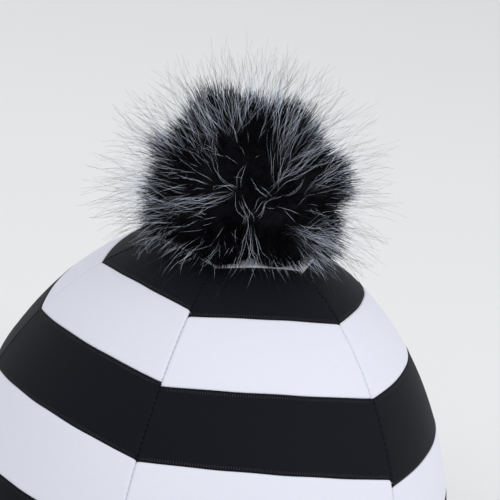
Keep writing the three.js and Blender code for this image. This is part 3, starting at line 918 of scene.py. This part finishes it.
tuft_luck = parts(tuft_form, cells["Color"])[0]
off_middle = minus(tuft_form, tuft_luck, 0.5)
tuft_length = number(tuft_form, "MULTIPLY_ADD", off_middle, TUFT_UNLIKENESS, 1.0)
tuft_reach = times(tuft_form, smooth_reach, minus(tuft_form, tuft_length, hollow))
tuft_form.links.new(tuft_reach, form_out["Reach"])
tuft_form.links.new(vector(tuft_form, "NORMALIZE", cells["Position"]), form_out["Tuft"])
tuft_form.links.new(tuft_luck, form_out["Tuft luck"])

# A point that would fall inside the crown is lifted onto it. Past the widest level the share out
# from the axis stays just inside 1.
JUST_INSIDE = 0.999
over_crown, over_in, over_out = node_group(
    "GeometryNodeTree", "over_crown", {"Place": "Vector", "Lift": 0.001}, {"Place": "Vector"}
)


def squared_share(tree, value, whole):
    share = number(tree, "DIVIDE", number(tree, "ABSOLUTE", value), whole)
    return number(tree, "POWER", share, 2.0)


spot = parts(over_crown, over_in["Place"])
behind = minus(over_crown, spot[1], CROWN_AXIS_Y)
reaches = {0: number(over_crown, "GREATER_THAN", behind, 0.0), 1: FRONT_REACH, 2: BACK_REACH}
reach_there = made(over_crown, "GeometryNodeSwitch", reaches, input_type="FLOAT")
share_x = squared_share(over_crown, spot[0], CROWN_HALF_WIDTH)
share_y = squared_share(over_crown, behind, reach_there)
oval_share = number(over_crown, "SQRT", plus(over_crown, share_x, share_y))
out_share = number(over_crown, "DIVIDE", oval_share, 1 + SEAM_RIDGE * 2 / 3)
out_share = number(over_crown, "MINIMUM", out_share, JUST_INSIDE)
up_share = minus(over_crown, 1.0, times(over_crown, out_share, out_share))
up_share = number(over_crown, "POWER", number(over_crown, "SQRT", up_share), TOP_FULLNESS)
crown_height = number(over_crown, "MULTIPLY_ADD", up_share, DOME_HEIGHT, RIM_DROP)
lifted = number(over_crown, "MAXIMUM", spot[2], plus(over_crown, crown_height, over_in["Lift"]))
lifted = made(over_crown, "ShaderNodeCombineXYZ", {0: spot[0], 1: spot[1], 2: lifted})
over_crown.links.new(lifted, over_out["Place"])


def put_over_crown(tree, shape, place, lift):
    """A shape with its points at the given places, or at least the lift above the crown."""
    clear = placed(tree, over_crown, {"Place": place, "Lift": lift})["Place"]
    return made(tree, "GeometryNodeSetPosition", {"Geometry": shape, "Position": clear})


def fur_material(name, stops, roughness, specular):
    """Hair whose colour runs along it from the root, as stops of a place and a colour."""
    finish = {"Roughness": roughness, "Specular IOR Level": specular}
    material, tree, shader = principled(name, finish)
    along_hair = add_node(tree, "ShaderNodeAttribute", attribute_name="along").outputs["Fac"]
    luck_of_hair = add_node(tree, "ShaderNodeAttribute", attribute_name="hair_luck").outputs["Fac"]
    off_middle = minus(tree, luck_of_hair, 0.5)
    shifted = number(tree, "MULTIPLY_ADD", off_middle, COLOUR_SCATTER, along_hair)
    ramp = add_node(tree, "ShaderNodeValToRGB", {"Fac": shifted})
    while len(ramp.color_ramp.elements) < len(stops):
        ramp.color_ramp.elements.new(0.5)
    for element, (place, colour) in zip(ramp.color_ramp.elements, stops):
        element.position = place
        element.color = (*colour, 1)
    tree.links.new(ramp.outputs["Color"], shader.inputs["Base Color"])
    return material


# Undercoat hair runs from black at the root to a painted sheen at the tip.
undercoat_hair = fur_material("undercoat_hair", [(0, FUR_BLACK), (1, FUR_PAINTED_SHEEN_BLACK)], 0.6, 0.06)
core, core_in, core_out = node_group(
    "GeometryNodeTree", "fur_core", {"Share": CORE_SHARE, "Material": "Material"}, {"Geometry": "Geometry"}
)
core_ball = made(core, "GeometryNodeMeshIcoSphere", {"Radius": 1.0, "Subdivisions": BALL_SUBDIVISIONS})
core_way = vector(core, "NORMALIZE", made(core, "GeometryNodeInputPosition"))
core_form = placed(core, tuft_form, {"Direction": core_way, **UNDERCOAT_REACH})
core_reach = times(core, core_form["Reach"], core_in["Share"])
core_place = vector(core, "ADD", vector(core, "SCALE", core_way, scale=core_reach), FUR_CENTRE)
end_tree(core, put_over_crown(core, core_ball, core_place, MM), core_in["Material"], core_out)
dress(grown("pompom_core", core, {"Material": undercoat_hair}), "pompom")


# The pompom's coats
# Thick soft undercoat stands in tufts on the core. Longer guard hairs, black at the root, silver
# white along their middle and dark at the tip, stand out of it and are combed outwards from a
# whorl in front. Finer silver hairs fill between them.
WHORL = (back + 0.125 * right - 0.08 * up).normalized()
WHORL_EDGE = (0.72, 0.97)
TIED_DOWN = (-0.9, -0.65)
FLOW_SCALE = 2.4
COAT_WAVE_SCALE = 60.0
LEAST_LIFT = 0.6 * MM
MORE_LIFT = 6 * MM
HAIR_SIDES = 3
FUR_SILVER = (0.76, 0.83, 0.98)
FUR_TIP = (0.012, 0.012, 0.015)


def random_of(tree, kind, seed, low, high):
    drawn = add_node(tree, "FunctionNodeRandomValue", {"Seed": seed}, data_type=kind)
    first = 0 if kind == "FLOAT_VECTOR" else 2
    drawn.inputs[first].default_value = low
    drawn.inputs[first + 1].default_value = high
    return drawn.outputs[0 if kind == "FLOAT_VECTOR" else 1]


def moved(tree, place, way, amount):
    """A place moved by an amount of a way."""
    return vector(tree, "ADD", place, vector(tree, "SCALE", way, scale=amount))


def drift(tree, place, scale):
    """A random way that changes smoothly from place to place."""
    return vector(tree, "SUBTRACT", noise(tree, place, scale, 1.0)["Color"], (0.5, 0.5, 0.5))


def hair_lift(tree, luck):
    """How far above the crown a hair may come to lie."""
    return number(tree, "MULTIPLY_ADD", luck, MORE_LIFT, LEAST_LIFT)


# One coat of hairs, as thin three-sided tubes with closed ends.
coat, coat_in, coat_out = node_group(
    "GeometryNodeTree",
    "fur_coat",
    {"Hairs": 1000.0, "Seed": 1, "Points": 4, "Root": 0.025, "Up": 0.05, "Side": 0.04, "Down": 0.03,
     "Tufts": 2.9, "Tuft depth": 0.1, "Root pull": 0.0, "Tip pull": 0.0, "Sweep": 0.0, "Stream": 0.0,
     "Stray": 0.1, "Bend": 0.002, "Wave": 0.0, "Droop": 0.0, "Shortest": 0.7, "Whorl thinning": 0.0,
     "Bare tufts": 0.0, "Thickness": 0.0002, "Tip share": 0.3, "Material": "Material"},
    {"Geometry": "Geometry"},
)
# Where the hairs stand: nowhere on the tied underside, few at the whorl, and none on some tufts.
skin = made(coat, "GeometryNodeMeshIcoSphere", {"Radius": 1.0, "Subdivisions": BALL_SUBDIVISIONS})
outward = vector(coat, "NORMALIZE", made(coat, "GeometryNodeInputPosition"))
uncovered = fade(coat, parts(coat, outward)[2], *TIED_DOWN)
near_whorl = fade(coat, vector(coat, "DOT_PRODUCT", outward, WHORL), *WHORL_EDGE)
thinned = minus(coat, 1.0, times(coat, near_whorl, coat_in["Whorl thinning"]))
own_tuft = placed(coat, tuft_form, {"Direction": outward, "Tufts": coat_in["Tufts"]})
haired = number(coat, "GREATER_THAN", own_tuft["Tuft luck"], coat_in["Bare tufts"])
cover = times(coat, uncovered, thinned, haired)
density = times(coat, number(coat, "DIVIDE", coat_in["Hairs"], 4 * math.pi), cover)
scattered = {"Mesh": skin, "Density": density, "Seed": coat_in["Seed"]}
points = made(coat, "GeometryNodeDistributePointsOnFaces", scattered)
any_way = random_of(coat, "FLOAT_VECTOR", 12, (-1, -1, -1), (1, 1, 1))
points = stored(coat, points, "hair_way", "FLOAT_VECTOR", outward)
points = stored(coat, points, "hair_luck", "FLOAT", random_of(coat, "FLOAT", 11, 0.0, 1.0))
points = stored(coat, points, "hair_stray", "FLOAT_VECTOR", any_way)
strand = made(coat, "GeometryNodeCurvePrimitiveLine", {"End": (0, 0, 1)})
strand = made(coat, "GeometryNodeResampleCurve", {"Curve": strand, "Count": coat_in["Points"]})
strand = stored(coat, strand, "along", "FLOAT", made(coat, "GeometryNodeSplineParameter"))
strands = made(coat, "GeometryNodeInstanceOnPoints", {"Points": points, "Instance": strand})
strands = made(coat, "GeometryNodeRealizeInstances", {"Geometry": strands})
way = recalled(coat, "hair_way", "FLOAT_VECTOR")
luck = recalled(coat, "hair_luck", "FLOAT")
stray = recalled(coat, "hair_stray", "FLOAT_VECTOR")
along = recalled(coat, "along", "FLOAT")
coat_form = {name: coat_in[name] for name in ("Up", "Side", "Down", "Tufts")}
form = placed(coat, tuft_form, {"Direction": way, "Depth": coat_in["Tuft depth"], **coat_form})
# How a hair runs: from its root, which its tuft draws together, to its tip, which the tuft, the
# combing and chance turn aside, with a bend, a droop and a wave on the way.
root = vector(coat, "NORMALIZE", moved(coat, way, form["Tuft"], coat_in["Root pull"]))
root = vector(coat, "SCALE", root, scale=coat_in["Root"])
to_whorl = vector(coat, "SCALE", WHORL, scale=vector(coat, "DOT_PRODUCT", way, WHORL))
combed = vector(coat, "SUBTRACT", way, to_whorl)
tip_way = moved(coat, way, form["Tuft"], coat_in["Tip pull"])
tip_way = moved(coat, tip_way, combed, coat_in["Sweep"])
tip_way = moved(coat, tip_way, drift(coat, way, FLOW_SCALE), coat_in["Stream"])
tip_way = vector(coat, "NORMALIZE", moved(coat, tip_way, stray, coat_in["Stray"]))
spared = minus(coat, 1.0, coat_in["Shortest"])
long_share = number(coat, "MULTIPLY_ADD", luck, spared, coat_in["Shortest"])
tip = vector(coat, "SCALE", tip_way, scale=times(coat, form["Reach"], long_share))
run = moved(coat, root, vector(coat, "SUBTRACT", tip, root), along)
along_squared = times(coat, along, along)
turn_aside = vector(coat, "CROSS_PRODUCT", way, stray)
run = moved(coat, run, turn_aside, times(coat, along_squared, coat_in["Bend"]))
run = moved(coat, run, (0, 0, -1), times(coat, along_squared, coat_in["Droop"]))
coat_wave = drift(coat, vector(coat, "ADD", run, stray), COAT_WAVE_SCALE)
run = moved(coat, run, coat_wave, times(coat, along, coat_in["Wave"]))
strands = put_over_crown(coat, strands, vector(coat, "ADD", run, FUR_CENTRE), hair_lift(coat, luck))
thinner = minus(coat, coat_in["Tip share"], 1.0)
taper = number(coat, "MULTIPLY_ADD", along_squared, thinner, 1.0)
hairs = tubes(coat, strands, HAIR_SIDES, coat_in["Thickness"], taper)
end_tree(coat, hairs, coat_in["Material"], coat_out)

guard_hair = fur_material("guard_hair", [
    (0, FUR_BLACK), (0.45, FUR_BLACK), (0.57, FUR_SILVER), (0.68, FUR_SILVER), (0.77, FUR_TIP), (1, FUR_TIP),
], 0.45, 0.4)
silver_hair = fur_material("silver_hair", [
    (0, FUR_BLACK), (0.3, FUR_BLACK), (0.55, FUR_SILVER), (0.85, FUR_SILVER), (1, FUR_TIP),
], 0.45, 0.4)
UNDERCOAT = {
    "Hairs": 15000, "Points": 3, "Root": 28 * MM, **UNDERCOAT_REACH, "Tuft depth": 0.34,
    "Tip pull": 0.3, "Stray": 0.09, "Bend": 2 * MM, "Shortest": 0.8, "Thickness": 0.36 * MM,
    "Tip share": 0.2,
}
GUARD_HAIRS = {
    "Hairs": 2900, "Seed": 3, "Points": 8, "Root": 24 * MM, "Up": 66 * MM, "Side": 67 * MM,
    "Down": 49 * MM, "Tufts": 3.6, "Tuft depth": 0.1, "Root pull": 1.0, "Sweep": 0.3, "Stream": 0.8,
    "Stray": 0.16, "Bend": 10 * MM, "Wave": 9 * MM, "Droop": 2 * MM, "Shortest": 0.66,
    "Whorl thinning": 0.9, "Bare tufts": 0.12, "Thickness": 0.1 * MM, "Tip share": 0.5,
}
SILVER_HAIRS = {
    "Hairs": 2900, "Seed": 4, "Points": 6, "Root": 30 * MM, "Up": 60 * MM, "Side": 59 * MM,
    "Down": 47 * MM, "Tufts": 5.0, "Tuft depth": 0.1, "Root pull": 1.6, "Sweep": 0.35, "Stream": 0.8,
    "Stray": 0.14, "Bend": 6 * MM, "Wave": 6 * MM, "Droop": 1 * MM, "Shortest": 0.7,
    "Whorl thinning": 1.0, "Bare tufts": 0.66, "Thickness": 0.06 * MM, "Tip share": 0.5,
}
for coat_name, coat_hair, coat_sizes in (
    ("pompom_undercoat_a", undercoat_hair, {**UNDERCOAT, "Seed": 1}),
    ("pompom_undercoat_b", undercoat_hair, {**UNDERCOAT, "Seed": 2}),
    ("pompom_guard_hairs", guard_hair, GUARD_HAIRS),
    ("pompom_silver_hairs", silver_hair, SILVER_HAIRS),
):
    dress(grown(coat_name, coat, {**coat_sizes, "Material": coat_hair}))


# The pompom's bunches
# Round the whorl in front the longest silver hairs lie over the ball in bunches, and at its foot
# in front a fringe of short black undercoat hangs over the white tip. Each bunch is drawn as the
# camera sees it, by points to the right of the ball's middle and above it. All lengths are in mm.
SILVER_REACH = 46.5
# A bunch's number of hairs, its spread at the tip, how far the tip stands off, and its line.
SILVER_BUNCHES = (
    (10, 3.5, 2, ((-2, 1), (-8, 0), (-16, -2), (-25, -3), (-34, -5))),
    (5, 2.0, 2, ((-2, 1), (-6, 3), (-11, 2))),
    (2, 0.6, 3, ((-3, 1), (-8, 6), (-11, 13), (-14, 19))),
    (2, 0.6, 3, ((-2, 1), (-1, 6), (3, 12))),
    (4, 2.5, 3, ((-3, 0), (-12, -4), (-20, -6), (-27, -8))),
    (5, 2.5, 4, ((-2, 1), (0, -5), (2, -9), (1, -14))),
    (5, 5.0, 5, ((2, -7), (3, -14), (1, -24), (-3, -33))),
    (5, 5.0, 6, ((1, -8), (3, -16), (5, -24), (9, -32))),
    (5, 2.0, 2, ((11, -1), (7, -3), (5, -7), (1, -8))),
    (3, 1.0, 3, ((11, -2), (7, 1), (3, 5))),
    (7, 4.5, 4, ((9, -1), (13, 5), (14, 11), (17, 20))),
    (9, 5.0, 5, ((10, -1), (16, 5), (24, 10), (36, 19))),
    (2, 2.0, 3, ((11, -2), (17, 0), (20, 5), (20, 9))),
    (24, 10.0, 9, ((-9, 13), (-15, 24), (-21, 35), (-28, 50))),
    (16, 9.0, 8, ((-4, 22), (-6, 29), (-11, 37), (-16, 46))),
    (16, 9.0, 10, ((-5, 20), (-1, 29), (3, 40), (7, 53))),
    (28, 9.0, 9, ((13, 9), (14, 21), (18, 32), (23, 48))),
    (14, 9.0, 10, ((7, 24), (8, 32), (10, 41), (11, 53))),
    (18, 8.0, 9, ((13, 7), (23, 14), (35, 21), (49, 28))),
    (24, 10.0, 10, ((23, 1), (33, 7), (42, 13), (52, 18))),
    (16, 10.0, 10, ((-26, 2), (-34, 4), (-42, 7), (-56, 12))),
    (18, 9.0, 10, ((-25, -4), (-34, -3), (-42, 0), (-54, 0))),
    (18, 10.0, 10, ((-22, 11), (-28, 16), (-36, 24), (-45, 36))),
    (26, 9.0, 6, ((15, -13), (25, -17), (34, -21), (43, -29))),
    (16, 9.0, 8, ((22, -16), (31, -14), (39, -13), (47, -14))),
    (6, 7.0, 5, ((-27, -14), (-36, -17), (-41, -21), (-45, -30))),
    (5, 6.0, 4, ((-25, -13), (-32, -17), (-37, -21), (-39, -28))),
    (4, 6.0, 5, ((-28, -15), (-38, -15), (-46, -17), (-52, -25))),
    (5, 6.0, 4, ((-15, -16), (-20, -20), (-24, -23), (-28, -32))),
    (4, 5.0, 3, ((-9, -16), (-12, -20), (-17, -24), (-22, -26))),
)
FRINGE_REACH = 39
FRINGE_BUNCHES = (
    (80, 5.0, -1, ((-30, -6), (-31, -12), (-33, -18))),
    (90, 5.0, -1, ((-22, -10), (-23, -17), (-24, -22))),
    (90, 5.0, -1, ((-15, -13), (-15, -20), (-16, -25))),
    (90, 5.0, -1, ((-7, -13), (-7, -20), (-7, -25))),
    (90, 5.0, -1, ((1, -13), (1, -20), (1, -25))),
    (90, 5.0, -1, ((9, -13), (9, -20), (9, -25))),
    (90, 5.0, -1, ((17, -13), (17, -20), (17, -25))),
)
# The stand-off grows along a bunch as this power of the way.
STAND_OFF_POWER = 1.5
# A hair begins and ends at random places on its bunch's line, within these shares of it.
LATEST_START = 0.3
EARLIEST_END = 0.75
SPREAD_AT_ROOT = 0.25
BUNCH_TIP_SHARE = 0.5
BUNCH_WAVE_SCALE = 70.0


def for_hair(tree, kind, value):
    """A value that is the same all along a hair."""
    return made(tree, "GeometryNodeFieldOnDomain", {"Value": value}, domain="CURVE", data_type=kind)


laid, laid_in, laid_out = node_group(
    "GeometryNodeTree",
    "laid_hairs",
    {"Geometry": "Geometry", "Points": 10, "Wave": 0.001, "Thickness": 0.0001, "Material": "Material"},
    {"Geometry": "Geometry"},
)
bunch = made(laid, "GeometryNodeMeshToCurve", {"Mesh": laid_in["Geometry"]})
bunch = made(laid, "GeometryNodeCurveSplineType", {"Curve": bunch}, spline_type="CATMULL_ROM")
one_to_a_hair = {"Geometry": bunch, "Amount": recalled(laid, "hairs", "FLOAT")}
bunch = made(laid, "GeometryNodeDuplicateElements", one_to_a_hair, domain="SPLINE")
late_start = random_of(laid, "FLOAT", 23, 0.0, LATEST_START)
early_end = random_of(laid, "FLOAT", 24, EARLIEST_END, 1.0)
bunch = made(laid, "GeometryNodeTrimCurve", {0: bunch, 2: late_start, 3: early_end}, mode="FACTOR")
bunch = made(laid, "GeometryNodeResampleCurve", {0: bunch, 2: laid_in["Points"]})
bunch = stored(laid, bunch, "along", "FLOAT", made(laid, "GeometryNodeSplineParameter"))
own_luck = for_hair(laid, "FLOAT", random_of(laid, "FLOAT", 21, 0.0, 1.0))
bunch = stored(laid, bunch, "hair_luck", "FLOAT", own_luck)
own_way = random_of(laid, "FLOAT_VECTOR", 22, (-1, -1, -1), (1, 1, 1))
own_way = for_hair(laid, "FLOAT_VECTOR", own_way)
along_line = recalled(laid, "along", "FLOAT")
parted = number(laid, "MULTIPLY_ADD", along_line, 1 - SPREAD_AT_ROOT, SPREAD_AT_ROOT)
parted = times(laid, parted, recalled(laid, "spread", "FLOAT"))
line_place = made(laid, "GeometryNodeInputPosition")
line_wave = drift(laid, vector(laid, "ADD", line_place, own_way), BUNCH_WAVE_SCALE)
laid_place = moved(laid, moved(laid, line_place, own_way, parted), line_wave, laid_in["Wave"])
bunch = put_over_crown(laid, bunch, laid_place, hair_lift(laid, own_luck))
laid_taper = number(laid, "MULTIPLY_ADD", along_line, BUNCH_TIP_SHARE - 1, 1.0)
bunch = tubes(laid, bunch, HAIR_SIDES, laid_in["Thickness"], laid_taper)
end_tree(laid, bunch, laid_in["Material"], laid_out)


def bunch_mesh(name, bunches, first_reach):
    """The drawn lines as a mesh of edges, which starts on a ball of the first reach."""
    points, edges, hair_counts, spreads = [], [], [], []
    for hair_count, spread, stand_off, drawn_line in bunches:
        for step, (to_right, above) in enumerate(drawn_line):
            way = step / (len(drawn_line) - 1)
            reach_here = first_reach + stand_off * way**STAND_OFF_POWER
            nearer = math.sqrt(max(reach_here**2 - to_right**2 - above**2, 0))
            if step:
                edges.append((len(points) - 1, len(points)))
            points.append(FUR_CENTRE + (right * to_right + up * above + back * nearer) * MM)
            hair_counts.append(hair_count)
            spreads.append(spread * MM)
    mesh = bpy.data.meshes.new(name)
    mesh.from_pydata(points, edges, [])
    mesh.attributes.new("hairs", "FLOAT", "POINT").data.foreach_set("value", hair_counts)
    mesh.attributes.new("spread", "FLOAT", "POINT").data.foreach_set("value", spreads)
    return mesh


laid_hair = fur_material("laid_hair", [
    (0, FUR_BLACK), (0.35, FUR_SILVER), (0.7, FUR_SILVER), (0.88, FUR_TIP),
], 0.45, 0.4)
silver_lines = bunch_mesh("silver_bunches", SILVER_BUNCHES, SILVER_REACH)
silver_sizes = {"Points": 10, "Wave": 7 * MM, "Thickness": 0.07 * MM, "Material": laid_hair}
dress(grown("pompom_laid_hairs", laid, silver_sizes, silver_lines))
fringe_lines = bunch_mesh("fringe_bunches", FRINGE_BUNCHES, FRINGE_REACH)
fringe_sizes = {"Points": 5, "Wave": 5 * MM, "Thickness": 0.3 * MM, "Material": undercoat_hair}
dress(grown("pompom_fringe", laid, fringe_sizes, fringe_lines))
